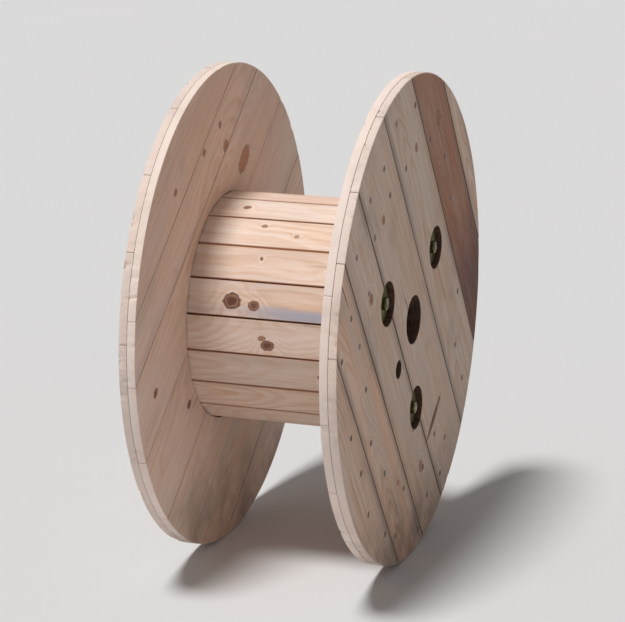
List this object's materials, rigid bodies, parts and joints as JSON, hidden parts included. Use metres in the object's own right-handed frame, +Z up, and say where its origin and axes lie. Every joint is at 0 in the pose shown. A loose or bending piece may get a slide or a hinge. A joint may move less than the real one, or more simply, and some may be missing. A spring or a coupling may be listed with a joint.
{
  "type": "wooden cable drum",
  "caption": "Wooden drum for winding and shipping cable: two round flanges of crossed boards on a barrel of flat staves, held by tie rods sunk into recesses.",
  "frame": {"origin": "on the floor under the middle of the drum, which stands on the rims of both flanges", "axes": "+X along the drum's axis towards the flange whose outer face the picture shows, +Z up"},
  "size_m": [0.349, 0.8, 0.8],
  "materials": {
    "outer_boards": "rough sawn pine, weathered",
    "inner_boards": "rough sawn pine",
    "staves": "planed pine",
    "zinc_washers": "yellow zinc plated",
    "zinc_nuts": "yellow zinc plated",
    "tie_rods": "bare steel rod"
  },
  "bodies": {
    "root": {"left_inner_board_1": "inner_boards", "left_inner_board_2": "inner_boards", "left_inner_board_3": "inner_boards", "left_inner_board_4": "inner_boards", "left_inner_board_5": "inner_boards", "left_inner_board_6": "inner_boards", "left_inner_board_7": "inner_boards", "left_outer_board_1": "outer_boards", "left_outer_board_2": "outer_boards", "left_outer_board_3": "outer_boards", "left_outer_board_4": "outer_boards", "left_outer_board_5": "outer_boards", "left_outer_board_6": "outer_boards", "left_outer_board_7": "outer_boards", "left_tie_washers": "zinc_washers", "left_tie_nuts": "zinc_nuts", "right_inner_board_1": "inner_boards", "right_inner_board_2": "inner_boards", "right_inner_board_3": "inner_boards", "right_inner_board_4": "inner_boards", "right_inner_board_5": "inner_boards", "right_inner_board_6": "inner_boards", "right_inner_board_7": "inner_boards", "right_outer_board_1": "outer_boards", "right_outer_board_2": "outer_boards", "right_outer_board_3": "outer_boards", "right_outer_board_4": "outer_boards", "right_outer_board_5": "outer_boards", "right_outer_board_6": "outer_boards", "right_outer_board_7": "outer_boards", "right_tie_washers": "zinc_washers", "right_tie_nuts": "zinc_nuts", "stave_01": "staves", "stave_02": "staves", "stave_03": "staves", "stave_04": "staves", "stave_05": "staves", "stave_06": "staves", "stave_07": "staves", "stave_08": "staves", "stave_09": "staves", "stave_10": "staves", "stave_11": "staves", "stave_12": "staves", "stave_13": "staves", "stave_14": "staves", "stave_15": "staves", "stave_16": "staves", "stave_17": "staves", "stave_18": "staves", "stave_19": "staves", "stave_20": "staves", "tie_rod_1": "tie_rods", "tie_rod_2": "tie_rods", "tie_rod_3": "tie_rods"}
  },
  "joints": []
}
